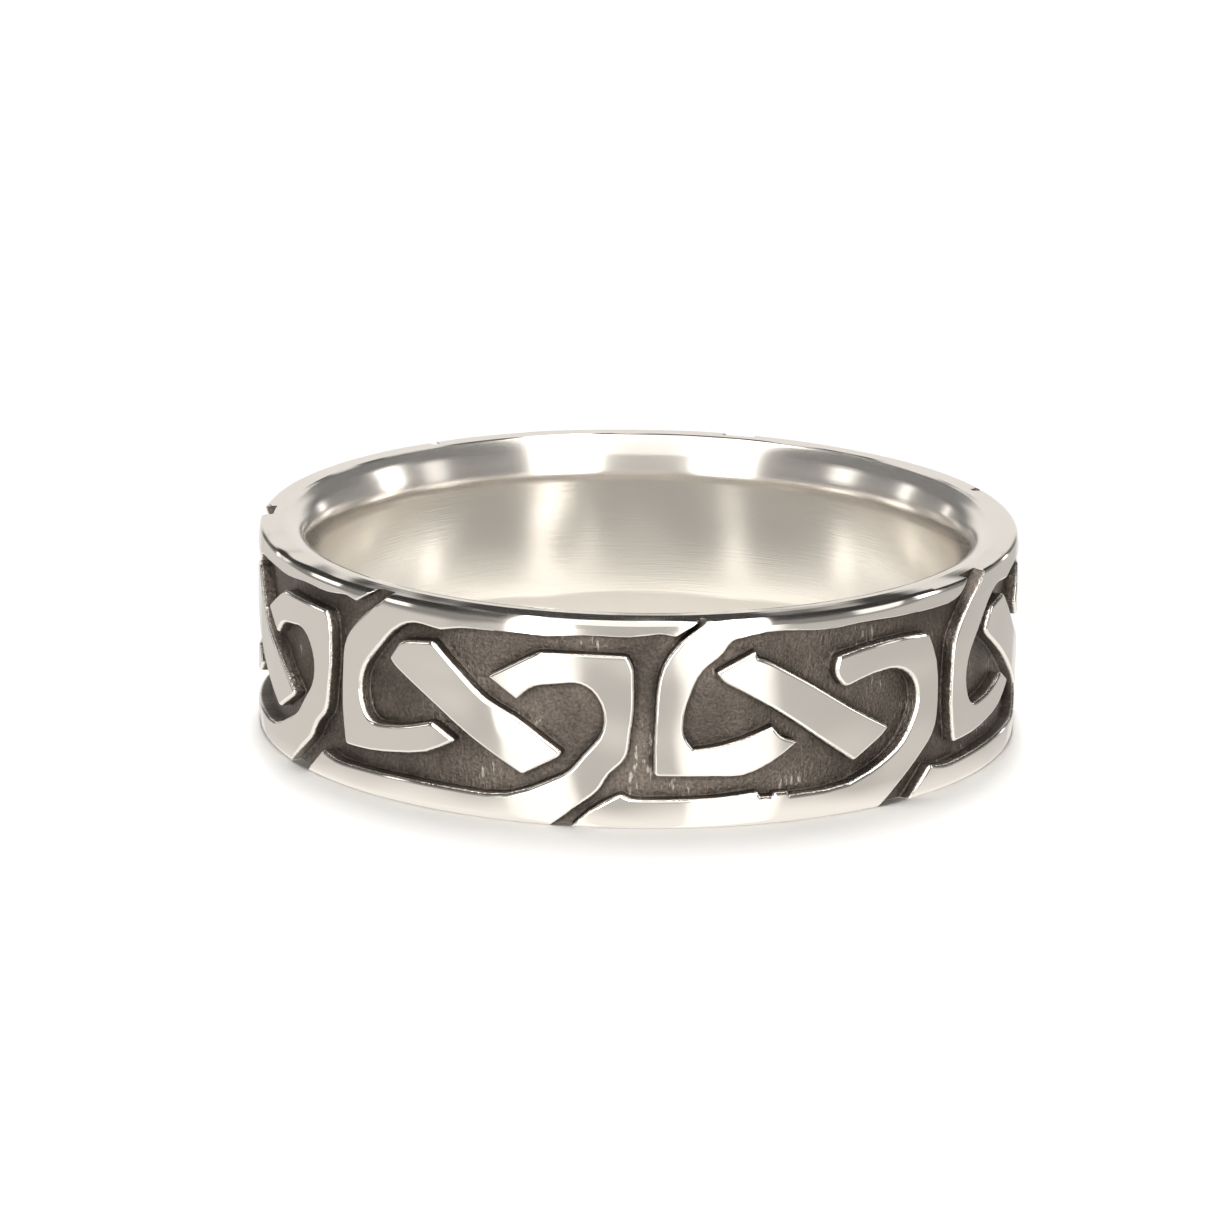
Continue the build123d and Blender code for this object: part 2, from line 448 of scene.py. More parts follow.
def crown_sink(angle, radius, height):
    """How far a point near the upper rim sinks under the crown."""
    beyond = max(0.0, radius - crest_radius)
    return crown_slope(angle) * beyond * max(0.0, 1 - (band_height - height) / crown_depth)


# %% [markdown]
# The strip is wrapped by turning its length into an angle. Two vertex attributes tell the material what
# each place is. The patina lies in the sunk ground and climbs the walls as far as the polishing wheel
# could not reach. The bore and its mouths were only brushed, so they are satin where the outside is
# bright. The carved ground is never quite level, and slow noise of two hundredths of a millimetre
# shows that well enough. Blender's extrude makes its faces in an order that changes from run to run,
# and the weld that closes the band joins pairs by that order. So the points and faces are put in the
# order of their places first, and every run gives the same mesh.

# %% Wrap the strip around the finger
patina_full = 0.6         # share of the wall's height that keeps all of the patina
patina_gone = 0.95        # share of the wall's height where the metal is bare
ground_wander = 0.02      # mm, how far the carved ground strays from its level
ground_patch = 1.1        # mm, size of its hollows
satin_soft = 0.15         # mm on each side of the rim's crest where satin turns to polish
slack = 1e-3              # mm, how far off a rim or a face a point may be and still count as on it
weld = 5e-4               # mm, points nearer than this are joined where the strip's ends meet


def patina_at(radius, height):
    """Share of the patina kept at a point."""
    if radius < ground_radius - slack or min(height, band_height - height) < slack:
        return 0.0
    rise = (radius - ground_radius) / relief_depth
    return min(1.0, max(0.0, (patina_gone - rise) / (patina_gone - patina_full)))


def satin_at(radius):
    """1 inside the crest of the rim and 0 outside it."""
    return min(1.0, max(0.0, (crest_radius + satin_soft - radius) / (2 * satin_soft)))


def put_in_order(items, place):
    """Sorts the points or faces of a bmesh by their place."""
    for index, item in enumerate(sorted(items, key=place)):
        item.index = index
    items.sort()


patina = band.verts.layers.float.new("patina")
satin = band.verts.layers.float.new("satin")
for vert in band.verts:
    angle = vert.co.x / face_radius
    height = vert.co.z
    limit = rim_limit(height, edge_at(angle))
    radius = min(-vert.co.y, limit)
    vert[patina] = 0.0 if -vert.co.y > limit else patina_at(radius, height)
    vert[satin] = satin_at(radius)
    around = Vector((math.sin(angle), -math.cos(angle), 0))
    if on_ground(vert):
        radius += ground_wander * noise.noise((around * radius + Vector((0, 0, height))) / ground_patch)
    height -= crown_sink(angle, radius, height)
    vert.co = around * radius + Vector((0, 0, height))
put_in_order(band.verts, lambda v: v.co[:])
put_in_order(band.faces, lambda f: sorted(v.index for v in f.verts))
bmesh.ops.remove_doubles(band, verts=band.verts[:], dist=weld)
bmesh.ops.recalc_face_normals(band, faces=band.faces[:])
open_edges = sum(not e.is_manifold for e in band.edges)
print("wrapped band: vertices", len(band.verts), "faces", len(band.faces), "open edges", open_edges)
print("volume, cubic mm", round(band.calc_volume(), 2))

# %% [markdown]
# The mesh becomes one smooth-shaded object in metres. Smooth shading bends the light on a flat face
# that meets a narrow round, and on a mirror that shows as steps. The polished faces, the rims, the
# mouths and the bore are known shapes, so their points get the exact normal, and every other point
# keeps the one Blender works out.

# %% Make the ring object
crease = math.radians(38)    # edges sharper than this stay sharp


def known_normal(co):
    """Exact normal at a point in millimetres on a face, rim, mouth or bore, or zero anywhere else."""
    angle = math.atan2(co.x, -co.y)
    radius = math.hypot(co.x, co.y)
    upper = co.z > band_height / 2
    from_rim = min(co.z, band_height - co.z)
    slope = crown_slope(angle) if upper else 0.0
    edge = edge_at(angle)
    flat_end = face_radius - roll_drop - edge
    if radius < crest_radius - slack:
        inward = (crest_radius - radius) / mouth_reach ** 2
        out, rise = -inward, max(0.0, 1 - from_rim / mouth_drop) / mouth_drop
    elif abs(from_rim - slope * (radius - crest_radius)) < 2 * slack and radius < flat_end:
        out, rise = slope, 1.0
    elif from_rim > edge and abs(radius - face_limit(from_rim)) < 2 * slack:
        out, rise = 1.0, 2 * roll_drop / roll_off * max(0.0, 1 - from_rim / roll_off)
    else:
        return Vector((0, 0, 0))
    return Vector((out * co.x / radius, out * co.y / radius, rise if upper else -rise)).normalized()


def finish_piece(bm, name):
    """Turns a bmesh in millimetres into an object in metres."""
    normals = [known_normal(vert.co) for vert in bm.verts]
    bmesh.ops.scale(bm, verts=bm.verts[:], vec=(mm, mm, mm))
    for face in bm.faces:
        face.smooth = True
    for edge in bm.edges:
        edge.smooth = edge.calc_face_angle(0) < crease
    mesh = bpy.data.meshes.new(name)
    bm.to_mesh(mesh)
    bm.free()
    mesh.normals_split_custom_set_from_vertices(normals)
    piece = bpy.data.objects.new(name, mesh)
    bpy.context.scene.collection.objects.link(piece)
    print(name, "exact normals", sum(normal.length > 0 for normal in normals), "of", len(normals))
    return piece


ring = finish_piece(band, "cast_knot_band")
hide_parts("knot_band")
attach(ring, "root")

# %% [markdown]
# Colours are written as the hex values a picture editor shows. One function turns them to the linear
# values that the shaders work in, and one small function adds a node with its settings and links.

# %% Helpers for colours and nodes
def linear(hex_colour):
    """sRGB hex colour as linear RGBA."""
    parts = [int(hex_colour[i:i + 2], 16) / 255 for i in (1, 3, 5)]
    parts = [p / 12.92 if p <= 0.04045 else ((p + 0.055) / 1.055) ** 2.4 for p in parts]
    return (*parts, 1.0)


def add(tree, kind, inputs=None, stops=(), **settings):
    """Adds a node. An input is a plain value or another node's output, stops fill a colour ramp."""
    made = tree.nodes.new(kind)
    for name, value in settings.items():
        setattr(made, name, value)
    for name, value in (inputs or {}).items():
        if isinstance(value, bpy.types.NodeSocket):
            tree.links.new(value, made.inputs[name])
        else:
            made.inputs[name].default_value = value
    for i, (position, value) in enumerate(stops):
        elements = made.color_ramp.elements
        element = elements[i] if i < 2 else elements.new(position)
        element.position = position
        element.color = linear(value) if isinstance(value, str) else (value, value, value, 1)
    return made


# %% [markdown]
# The faces are polished sterling silver: a warm white metal whose polish is near a mirror, broken by
# the faint waves of hand work. The bore is brushed and softer. The sunk ground was blackened with a
# sulphur patina and left as carved, so it is dark, dull and grainy, with short upright tool marks that
# sparkle where the metal shows through. One material carries all of it, because on the real ring it
# is one surface, and the two attributes say where each finish is. Its patterns are noises whose
# scales are real spacings, read in Object coordinates so that they stay on the metal.

# %% Sterling silver: its patterns
grain_size = 0.09         # mm, the as-cast grain, drawn a little coarse so that it shows
mark_size = 0.13          # mm between tool marks
mark_length = 3.4         # times longer upright than they are wide
patch_size = 1.6          # mm between patches of the ground that the tool scored more


def per_mm(size):
    """Noise scale, in metres, of a pattern with this spacing in millimetres."""
    return 1 / (size * mm)


material = bpy.data.materials.new("sterling_silver_polished_and_patinated")
material.use_nodes = True
silver = material.node_tree
shader = silver.nodes["Principled BSDF"]
spot = add(silver, "ShaderNodeTexCoord").outputs["Object"]
mask = add(silver, "ShaderNodeAttribute", attribute_name="patina").outputs["Fac"]
inside = add(silver, "ShaderNodeAttribute", attribute_name="satin").outputs["Fac"]
upright = add(silver, "ShaderNodeMapping", {0: spot, "Scale": (1, 1, 1 / mark_length)}).outputs[0]
marks = add(silver, "ShaderNodeTexNoise", {
    "Vector": upright, "Scale": per_mm(mark_size), "Detail": 2.0, "Roughness": 0.5}).outputs[0]
grain = add(silver, "ShaderNodeTexNoise", {
    "Vector": spot, "Scale": per_mm(grain_size), "Detail": 2.0, "Roughness": 0.6}).outputs[0]
patches = add(silver, "ShaderNodeTexNoise", {
    "Vector": spot, "Scale": per_mm(patch_size), "Detail": 1.0}).outputs[0]
print("patterns", len(silver.nodes), "nodes")

# %% [markdown]
# The colour starts at the bare metal. The grain frays the patina's edge, because a wheel takes the
# black off the high grains first. In the ground the patina goes from dark to lighter in patches, and
# bare
# metal shows in the deepest tool marks. The corner along each wall's foot is painted nearly black:
# partly the patina that no cloth reaches, and partly painted shade where the walls shade the ground.
# Ambient occlusion finds those corners.

# %% Sterling silver: its colour
polish_colour = "#F0ECE6"
patina_dark = "#554D46"
patina_light = "#8C8278"
# The corner colour is thick patina and painted shade at once: it darkens where the walls shade the
# ground.
corner_patina_and_shade = "#1E1A17"
bare_in_patina = "#D2CCC4"
fray = 0.5                # how strongly the grain frays the patina's edge
corner_reach = 0.25       # mm from a wall's foot where the patina and the painted shade lie thickest

worn = add(silver, "ShaderNodeMath", {0: grain, 1: 0.5}, operation="SUBTRACT").outputs[0]
worn = add(silver, "ShaderNodeMath", {0: worn, 1: fray, 2: mask}, operation="MULTIPLY_ADD").outputs[0]
dark = add(silver, "ShaderNodeValToRGB", {0: worn}, [(0.25, 0.0), (0.6, 1.0)]).outputs[0]
scored = add(silver, "ShaderNodeValToRGB", {0: patches}, [(0.48, 0.15), (0.62, 1.0)]).outputs[0]
marks = add(silver, "ShaderNodeMath", {0: marks, 1: scored}, operation="MULTIPLY").outputs[0]
tone = add(silver, "ShaderNodeMath", {0: grain, 1: patches}, operation="MULTIPLY").outputs[0]
ground = add(silver, "ShaderNodeValToRGB", {0: tone}, [
    (0.12, patina_dark), (0.40, patina_light)]).outputs[0]
bare = add(silver, "ShaderNodeValToRGB", {0: marks}, [(0.60, 0.0), (0.68, 1.0)]).outputs[0]
ground = add(silver, "ShaderNodeMix", {
    0: bare, 6: ground, 7: linear(bare_in_patina)}, data_type="RGBA").outputs[2]
# Painted shade: ambient occlusion darkens the ground and walls in the corners, partly for patina and
# partly for shade.
open_sky = add(silver, "ShaderNodeAmbientOcclusion", {
    "Distance": corner_reach * mm}, samples=8, only_local=True).outputs["AO"]
clear = add(silver, "ShaderNodeValToRGB", {0: open_sky}, [(0.5, 0.0), (0.95, 1.0)]).outputs[0]
ground = add(silver, "ShaderNodeMix", {
    0: clear, 6: linear(corner_patina_and_shade), 7: ground}, data_type="RGBA").outputs[2]
colour = add(silver, "ShaderNodeMix", {
    0: dark, 6: linear(polish_colour), 7: ground}, data_type="RGBA").outputs[2]
silver.links.new(colour, shader.inputs["Base Color"])
print("colour", len(silver.nodes), "nodes")

# %% [markdown]
# Silver is all metal, but its patina is a thin layer of sulphide that is only partly metallic. The
# brushed bore scatters some light in all directions, so a little of its metallic value is taken away
# there, which gives the broad soft glow under its highlights. The polish is the smoothest, the brushed
# bore a little rougher and the patina dull.

# %% Sterling silver: how metallic and how rough
patina_metallic = 0.5
satin_scatter = 0.2       # share of the light that the brushed bore and its mouths scatter all ways
polish_rough = 0.1
satin_rough = 0.16
patina_rough = 0.45

metal = add(silver, "ShaderNodeValToRGB", {0: dark}, [(0.0, 1.0), (1.0, patina_metallic)]).outputs[0]
metal = add(silver, "ShaderNodeMath", {
    0: inside, 1: -satin_scatter, 2: metal}, operation="MULTIPLY_ADD").outputs[0]
silver.links.new(metal, shader.inputs["Metallic"])
clean = add(silver, "ShaderNodeValToRGB", {0: inside}, [
    (0.0, polish_rough), (1.0, satin_rough)]).outputs[0]
rough = add(silver, "ShaderNodeMix", {0: dark, 2: clean, 3: patina_rough}).outputs[0]
silver.links.new(rough, shader.inputs["Roughness"])
print("metal and roughness", len(silver.nodes), "nodes")

# %% [markdown]
# The relief finer than the mesh is three bumps, one after the other: the soft waves that a wheel held
# by hand leaves on the outside, the brushed lines around the bore, and the grain and tool marks of the
# patina. The brushed lines are finer than a pixel of the picture. They don't show one by one, but they
# stretch each highlight of the bore upwards, as a brushed finish does.

# %% Sterling silver: its fine relief
wave_size = 1.9           # mm between the soft waves of the polish
wave_height = 0.09        # mm from their hollows to their tops
brush_size = 0.028        # mm between the brushed lines that run around the bore
brush_length = 60         # times longer around the bore
brush_depth = 0.0013      # mm
pit_depth = 0.03          # mm, depth of the grain and the marks in the patina
mark_weight = 1.4         # how much deeper the marks are than the grain

waves = add(silver, "ShaderNodeTexNoise", {
    "Vector": spot, "Scale": per_mm(wave_size), "Detail": 0.0}).outputs[0]
outside = add(silver, "ShaderNodeMath", {0: 1.0, 1: inside}, operation="SUBTRACT").outputs[0]
waves = add(silver, "ShaderNodeMath", {0: waves, 1: outside}, operation="MULTIPLY").outputs[0]
polish = add(silver, "ShaderNodeBump", {
    "Height": waves, "Strength": 1.0, "Distance": wave_height * mm}).outputs["Normal"]
relief = add(silver, "ShaderNodeMath", {
    0: marks, 1: mark_weight, 2: grain}, operation="MULTIPLY_ADD").outputs[0]
relief = add(silver, "ShaderNodeMath", {0: relief, 1: dark}, operation="MULTIPLY").outputs[0]
around = add(silver, "ShaderNodeMapping", {
    0: spot, "Scale": (1 / brush_length, 1 / brush_length, 1)}).outputs[0]
lines = add(silver, "ShaderNodeTexNoise", {
    "Vector": around, "Scale": per_mm(brush_size), "Detail": 1.0}).outputs[0]
lines = add(silver, "ShaderNodeMath", {0: lines, 1: inside}, operation="MULTIPLY").outputs[0]
brushed = add(silver, "ShaderNodeBump", {
    "Height": lines, "Strength": 1.0, "Distance": brush_depth * mm, "Normal": polish}).outputs["Normal"]
pitted = add(silver, "ShaderNodeBump", {
    "Height": relief, "Strength": 1.0, "Distance": pit_depth * mm, "Normal": brushed}).outputs["Normal"]
silver.links.new(pitted, shader.inputs["Normal"])
ring.data.materials.clear()
ring.data.materials.append(material)
print("material", material.name, len(silver.nodes), "nodes")

# %% [markdown]
# Polished silver has hardly any colour of its own: what the eye reads as silver is the room. This room
# is a light tent. Below the horizon it is warm grey and gets brighter towards the ring's foot. Tall
# panels stand in front and at the left, and a pale wall stands behind. The space overhead is dark but
# for a long light with two bright ends and a few small lamps, and it is laid out by the face of the
# ring that mirrors each place: which way the face looks and how far it leans back. The world holds
# all this as fixed directions.

# %% Panels and tones of the light tent
# Angles in degrees. Left and right are azimuths from straight in front or from straight behind, and
# bottom and top are elevations. On the side "face" they are the azimuth and the lean of the face that
# mirrors the panel, where an upright wall leans by 0 and a flat rim by 90. Soft and rim are half the
# width of the shoulders at the sides, and at the bottom and top.
Panel = namedtuple("Panel", "side left right bottom top light soft rim")
panels = (
    Panel("front", -41, -17, -75, 0, 1.35, 4, 4),
    Panel("front", 9, 45, -75, 0, 1.35, 5, 4),
    Panel("front", -41, -22, -4, 5, 1.3, 4, 1),
    Panel("front", 15, 45, -4, 5, 1.3, 4, 1),
    Panel("front", -168, -50, -75, -4, 0.68, 14, 1),
    Panel("behind", -24, 24, -75, 21.5, 0.85, 8, 2),
    Panel("face", -19.5, 18.3, 25, 80, 1.2, 1.2, 4),
    Panel("face", -11, 7, 2, 25, 0.55, 2, 2),
    Panel("face", -20.8, -10.5, 1, 80, 5, 1.5, 2),
    Panel("face", 7, 18.5, 1, 80, 5, 1.5, 2),
    Panel("face", 46.5, 51.5, 16, 48, 4, 0.8, 5),
    Panel("face", 36, 41, 12, 40, 1.4, 1.5, 6),
    Panel("face", 72, 75, 15, 38, 2.2, 0.7, 5),
    Panel("face", -42, -36.5, 17, 38, 1.8, 1.2, 5),
    Panel("face", -56.5, -53.5, 18, 40, 2.2, 0.8, 5),
    Panel("face", -71, -69, 15, 38, 2.2, 0.7, 5),
)
# Elevation in degrees and light of the room below the horizon.
tent_tones = (
    (-90, 1.0), (-30, 1.05), (-27, 1.0), (-23, 0.86), (-19, 0.70), (-16.5, 0.60), (-14, 0.57),
    (-8, 0.58), (-4.5, 0.56), (-3, 0.0),
)
# Lean in degrees of the face that mirrors it, and light of the room above the horizon.
lean_tones = (
    (0, 0.24), (12, 0.27), (22, 0.27), (32, 0.18), (42, 0.08), (62, 0.04), (80, 0.05), (86.2, 0.05),
    (87.5, 0.25), (88.5, 0.6), (90, 0.85),
)
table_edge = (-4.5, -3.0)           # elevations between which the table gives way to the room above
view_raised = math.radians(15.2)    # the photographer's line of sight, which sets what a face mirrors
tent_warmth = "#FFFBF6"
print("light tent", len(panels), "panels")

# %% [markdown]
# A world shader starts from the direction that a ray takes. The azimuth and elevation place what
# stands in front and behind. A mirror turns a ray about its own face, so the face that sends the
# photographer's line of sight into a direction lies halfway between the two, and its azimuth and lean
# come from their difference. Each panel is then two soft steps up and two down.

# %% Helpers for the room
def box_mask(tree, value, low_edge, high_edge, soft):
    """1 between two edges of a value and 0 outside, with soft shoulders."""
    rising = add(tree, "ShaderNodeMapRange", {
        "Value": value, "From Min": low_edge - soft, "From Max": low_edge + soft},
        interpolation_type="SMOOTHSTEP")
    falling = add(tree, "ShaderNodeMapRange", {
        "Value": value, "From Min": high_edge - soft, "From Max": high_edge + soft,
        "To Min": 1.0, "To Max": 0.0}, interpolation_type="SMOOTHSTEP")
    return add(tree, "ShaderNodeMath", {0: rising.outputs[0], 1: falling.outputs[0]},
               operation="MULTIPLY").outputs[0]


def degrees_of(tree, operation, *values):
    """Angle in degrees from an inverse trigonometric operation."""
    angle = add(tree, "ShaderNodeMath", dict(enumerate(values)), operation=operation).outputs[0]
    return add(tree, "ShaderNodeMath", {0: angle}, operation="DEGREES").outputs[0]


def azimuths_and_heights(tree, direction):
    """For each side, the azimuth and the elevation, or the lean, of a direction in degrees."""
    across, along, up = add(tree, "ShaderNodeSeparateXYZ", {0: direction}).outputs
    toward = add(tree, "ShaderNodeMath", {0: along, 1: -1.0}, operation="MULTIPLY").outputs[0]
    elevation = degrees_of(tree, "ARCSINE", up)
    sight = (0, math.cos(view_raised), -math.sin(view_raised))
    face = add(tree, "ShaderNodeVectorMath", {
        0: direction, 1: sight}, operation="SUBTRACT").outputs[0]
    face = add(tree, "ShaderNodeVectorMath", {0: face}, operation="NORMALIZE").outputs[0]
    face_across, face_along, face_up = add(tree, "ShaderNodeSeparateXYZ", {0: face}).outputs
    face_toward = add(tree, "ShaderNodeMath", {
        0: face_along, 1: -1.0}, operation="MULTIPLY").outputs[0]
    lean = degrees_of(tree, "ARCSINE", face_up)
    return {
        "front": (degrees_of(tree, "ARCTAN2", across, toward), elevation),
        "behind": (degrees_of(tree, "ARCTAN2", across, along), elevation),
        "face": (degrees_of(tree, "ARCTAN2", face_across, face_toward), lean),
    }


# %% [markdown]
# The room starts with the smooth tones below and above the horizon. Each panel is laid over them, and
# the brighter of the two wins, so panels that overlap don't add up. What the camera sees directly is
# plain white, as behind the real ring, and the world lights nothing that is matt: the lamps do that.

# %% The room that the silver mirrors
def room():
    world = bpy.data.worlds.new("light tent")
    bpy.context.scene.world = world
    world.use_nodes = True
    world.cycles.sampling_method = "NONE"
    tree = world.node_tree
    direction = add(tree, "ShaderNodeTexCoord").outputs["Generated"]
    sides = azimuths_and_heights(tree, direction)
    elevation = sides["front"][1]
    lean = sides["face"][1]
    share = add(tree, "ShaderNodeMapRange", {
        "Value": elevation, "From Min": -90.0, "From Max": 90.0}).outputs[0]
    low = add(tree, "ShaderNodeValToRGB", {0: share}, [
        ((angle + 90) / 180, tone) for angle, tone in tent_tones]).outputs[0]
    share = add(tree, "ShaderNodeMapRange", {
        "Value": lean, "From Min": 0.0, "From Max": 90.0}).outputs[0]
    high = add(tree, "ShaderNodeValToRGB", {0: share}, [
        (angle / 90, tone) for angle, tone in lean_tones]).outputs[0]
    above = add(tree, "ShaderNodeMapRange", {
        "Value": elevation, "From Min": table_edge[0], "From Max": table_edge[1]}).outputs[0]
    total = add(tree, "ShaderNodeMath", {
        0: high, 1: above, 2: low}, operation="MULTIPLY_ADD").outputs[0]
    for panel in panels:
        azimuth, height = sides[panel.side]
        wide = box_mask(tree, azimuth, panel.left, panel.right, panel.soft)
        tall = box_mask(tree, height, panel.bottom, panel.top, panel.rim)
        lit = add(tree, "ShaderNodeMath", {0: wide, 1: tall}, operation="MULTIPLY").outputs[0]
        light = add(tree, "ShaderNodeMath", {0: lit, 1: panel.light}, operation="MULTIPLY").outputs[0]
        total = add(tree, "ShaderNodeMath", {0: total, 1: light}, operation="MAXIMUM").outputs[0]
    warm = add(tree, "ShaderNodeMix", {
        0: 1.0, 6: total, 7: linear(tent_warmth)}, data_type="RGBA", blend_type="MULTIPLY").outputs[2]
    seen = add(tree, "ShaderNodeLightPath").outputs["Is Camera Ray"]
    shown = add(tree, "ShaderNodeMix", {0: seen, 6: warm, 7: (1, 1, 1, 1)}, data_type="RGBA")
    tree.links.new(shown.outputs[2], tree.nodes["Background"].inputs["Color"])
    world.cycles_visibility.diffuse = False
    print("room", len(tree.nodes), "nodes")


room()

# %% [markdown]
# The table is pale and matt. It is hidden from mirrored rays, because the world already holds what the
# silver's outside mirrors of it. Inside the ring the table is close, so there a round card that only
# mirrored rays see lies on it. It is darker towards the front, where the near wall shades it, and it
# carries the soft flashes that the curved bore throws down, as a cup does on its coffee.

# %% Flashes on the floor inside the ring
# x and y are millimetres on the floor from the middle of the ring, turn is in degrees, the halves are
# millimetres, and light 1 is as bright as white paper.
Flash = namedtuple("Flash", "x y turn half_width half_length light")
flashes = (
    Flash(-4.7, 5.3, -81, 1.0, 4.7, 2.0),
    Flash(3.8, 5.5, 80, 0.85, 4.2, 2.0),
    Flash(2.05, 1.95, 36.1, 0.5, 5.6, 2.0),
    Flash(5.0, -2.4, 33, 1.15, 3.4, 2.4),
    Flash(6.1, -5.6, 25, 2.1, 3.8, 2.6),
    Flash(-2.5, 1.4, -35.8, 0.5, 5.7, 1.9),
    Flash(-5.8, -3.6, -30, 1.4, 3.9, 1.0),
    Flash(-6.9, -6.0, -34.8, 1.5, 2.2, 1.15),
    Flash(1.5, 0.25, 16.4, 0.5, 6.5, 1.35),
    Flash(-0.5, 5.6, 31, 0.55, 2.6, 1.7),
    Flash(0.5, 5.5, -39, 0.55, 2.7, 1.6),
    Flash(4.95, 5.75, 36, 0.4, 5.4, 2.6),
    Flash(-4.3, 6.7, -46, 0.4, 5.2, 2.6),
    Flash(0.0, 5.5, 0, 7.0, 7.0, 0.87),
    Flash(0.0, 0.0, 0, 2.6, 7.5, 0.62),
)
flash_core = 0.35         # share of a flash's size over which it is at full light
floor_reach = 9.5         # mm from the middle to where the floor's tones end, in front and behind
# Place from the front to the back of the floor, and light.
floor_tones = (
    (0.0, 0.36), (0.21, 0.38), (0.55, 0.38), (0.68, 0.45), (0.76, 0.66), (0.82, 0.86), (0.9, 0.95),
    (1.0, 1.0),
)
floor_warmth = "#FFFAF1"
print("floor", len(flashes), "flashes")

# %% [markdown]
# The table is matt paper, pulp pressed without a coating, which scatters all light and shows no gloss.
# The card's material is a light. Each flash is the distance from its middle in its own stretched and
# turned coordinates, so it is an ellipse with a soft shoulder.

# %% Table and the lit floor inside the ring
paper_colour = "#F2F1EF"
table_half = 1.5          # metres, half of the table's side
card_sides = 96
card_lift = 0.02          # mm that the card lies over the table


def stage_piece(name, bm, material):
    """Links a bmesh to the scene as an object with the given material."""
    mesh = bpy.data.meshes.new(name)
    bm.to_mesh(mesh)
    bm.free()
    mesh.materials.append(material)
    piece = bpy.data.objects.new(name, mesh)
    bpy.context.scene.collection.objects.link(piece)
    return piece


def paper():
    material = bpy.data.materials.new("pale_matt_paper")
    material.use_nodes = True
    shader = material.node_tree.nodes["Principled BSDF"]
    shader.inputs["Base Color"].default_value = linear(paper_colour)
    shader.inputs["Roughness"].default_value = 0.9
    shader.inputs["Specular IOR Level"].default_value = 0.0
    return material


def lit_floor():
    """Light of the floor inside the ring, as mirrored rays see it."""
    material = bpy.data.materials.new("lit_floor_inside_the_ring")
    material.use_nodes = True
    tree = material.node_tree
    tree.nodes.remove(tree.nodes["Principled BSDF"])
    place = add(tree, "ShaderNodeTexCoord").outputs["Object"]
    along = add(tree, "ShaderNodeSeparateXYZ", {0: place}).outputs[1]
    share = add(tree, "ShaderNodeMapRange", {
        "Value": along, "From Min": -floor_reach * mm, "From Max": floor_reach * mm}).outputs[0]
    total = add(tree, "ShaderNodeValToRGB", {0: share}, floor_tones).outputs[0]
    for flash in flashes:
        moved = add(tree, "ShaderNodeMapping", {
            0: place, "Location": (flash.x * mm, flash.y * mm, 0),
            "Rotation": (0, 0, math.radians(flash.turn)),
            "Scale": (flash.half_width * mm, flash.half_length * mm, 1)},
            vector_type="TEXTURE").outputs[0]
        flat = add(tree, "ShaderNodeVectorMath", {
            0: moved, 1: (1, 1, 0)}, operation="MULTIPLY").outputs[0]
        away = add(tree, "ShaderNodeVectorMath", {0: flat}, operation="LENGTH").outputs["Value"]
        glow = add(tree, "ShaderNodeMapRange", {
            "Value": away, "From Min": flash_core, "From Max": 1.0, "To Min": flash.light,
            "To Max": 0.0}, interpolation_type="SMOOTHSTEP").outputs[0]
        total = add(tree, "ShaderNodeMath", {0: total, 1: glow}, operation="MAXIMUM").outputs[0]
    warm = add(tree, "ShaderNodeMix", {
        0: 1.0, 6: total, 7: linear(floor_warmth)}, data_type="RGBA", blend_type="MULTIPLY").outputs[2]
    lamp = add(tree, "ShaderNodeEmission", {"Color": warm, "Strength": 1.0})
    tree.links.new(lamp.outputs[0], tree.nodes["Material Output"].inputs["Surface"])
    return material


def table():
    bm = bmesh.new()
    bmesh.ops.create_grid(bm, x_segments=1, y_segments=1, size=table_half)
    top = stage_piece("table", bm, paper())
    top.visible_glossy = False
    bm = bmesh.new()
    card_radius = (bore_radius + mouth_reach / 2) * mm
    bmesh.ops.create_circle(bm, cap_ends=True, segments=card_sides, radius=card_radius)
    bmesh.ops.translate(bm, verts=bm.verts[:], vec=(0, 0, card_lift * mm))
    card = stage_piece("floor_inside", bm, lit_floor())
    card.visible_camera = False
    card.visible_diffuse = False
    card.visible_shadow = False
    card.visible_transmission = False
    print("stage", top.name, "and", card.name)


table()

# %% [markdown]
# Two lamps that the silver doesn't mirror light the table and the patina. The one overhead is long from
# front to back and narrow from side to side, so the soft shadow lies under the ring's front and hardly
# shows at its sides. The one in front opens up the dark ground. Neither lights by way of the silver,
# which would throw its own light into the shadow.

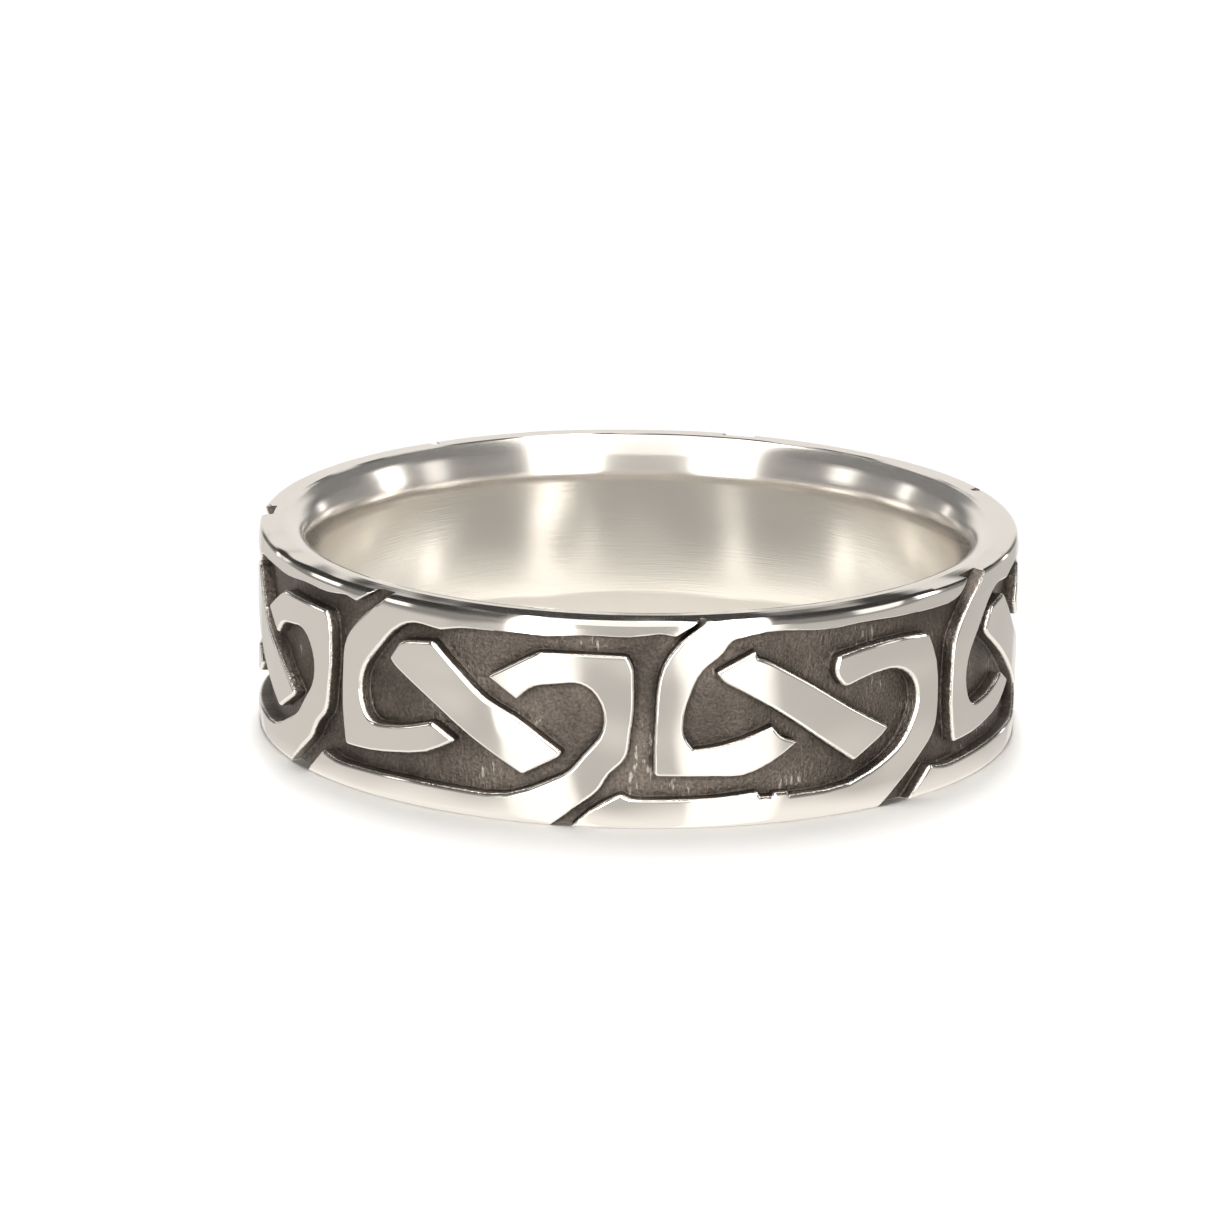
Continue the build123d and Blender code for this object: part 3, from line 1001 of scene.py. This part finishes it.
# %% Lamps
def softbox(name, place, width, length, watts):
    """Area light at a place in metres that looks at the ring and lights nothing by way of it."""
    lamp = bpy.data.lights.new(name, "AREA")
    lamp.shape = "RECTANGLE"
    lamp.size = width
    lamp.size_y = length
    lamp.energy = watts
    lamp.cycles.max_bounces = 0
    holder = bpy.data.objects.new(name, lamp)
    holder.location = place
    holder.rotation_mode = "QUATERNION"
    holder.rotation_quaternion = (-Vector(place)).to_track_quat("-Z", "Y")
    holder.visible_glossy = False
    bpy.context.scene.collection.objects.link(holder)
    print(name, "lamp", watts, "W")


softbox("overhead", (0.0, 0.16, 1.0), 0.17, 0.9, 12.8)
softbox("front", (-0.08, -0.36, 0.09), 0.25, 0.25, 0.55)

# %% [markdown]
# The camera stands where the photographer's did: 15 degrees above the table, with a long lens about
# 200 mm away, and turned a touch so that the groove between two knots lies just right of the middle.

# %% Camera
photo_width = 1213        # pixels
focal_pixels = 6809       # focal length in pixels of the photo
sensor_width = 36         # mm
camera_distance = 18.0 * face_radius * mm
camera_raised = math.radians(15.57)
camera_azimuth = math.radians(-1.05)
camera_roll = -0.0139     # radians, as are the two that follow, from looking at the ring's middle
camera_yaw = 0.00456
camera_pitch = -0.0018
nearest = 0.01            # metres, what the camera can see
farthest = 10


def make_camera():
    data = bpy.data.cameras.new("camera")
    data.sensor_width = sensor_width
    data.lens = focal_pixels / photo_width * data.sensor_width
    data.clip_start = nearest
    data.clip_end = farthest
    holder = bpy.data.objects.new("camera", data)
    turned = Matrix.Rotation(camera_azimuth, 3, "Z")
    back = Vector((0, -math.cos(camera_raised), math.sin(camera_raised)))
    right = Vector((1, 0, 0))
    up = back.cross(right)
    base = Matrix((right, up, back)).transposed()
    nudge = Matrix.Rotation(-camera_roll, 3, "Z") @ Matrix.Rotation(camera_yaw, 3, "Y")
    nudge = nudge @ Matrix.Rotation(-camera_pitch, 3, "X")
    middle = Vector((0, 0, band_height / 2 * mm))
    place = turned @ (back * camera_distance) + middle
    holder.matrix_world = Matrix.Translation(place) @ (turned @ base @ nudge).to_4x4()
    bpy.context.scene.collection.objects.link(holder)
    bpy.context.scene.camera = holder
    return holder


camera = make_camera()
scene = bpy.context.scene
scene.view_settings.view_transform = "Standard"
print("lens", round(camera.data.lens, 1), "mm, camera at", [round(v, 4) for v in camera.location])
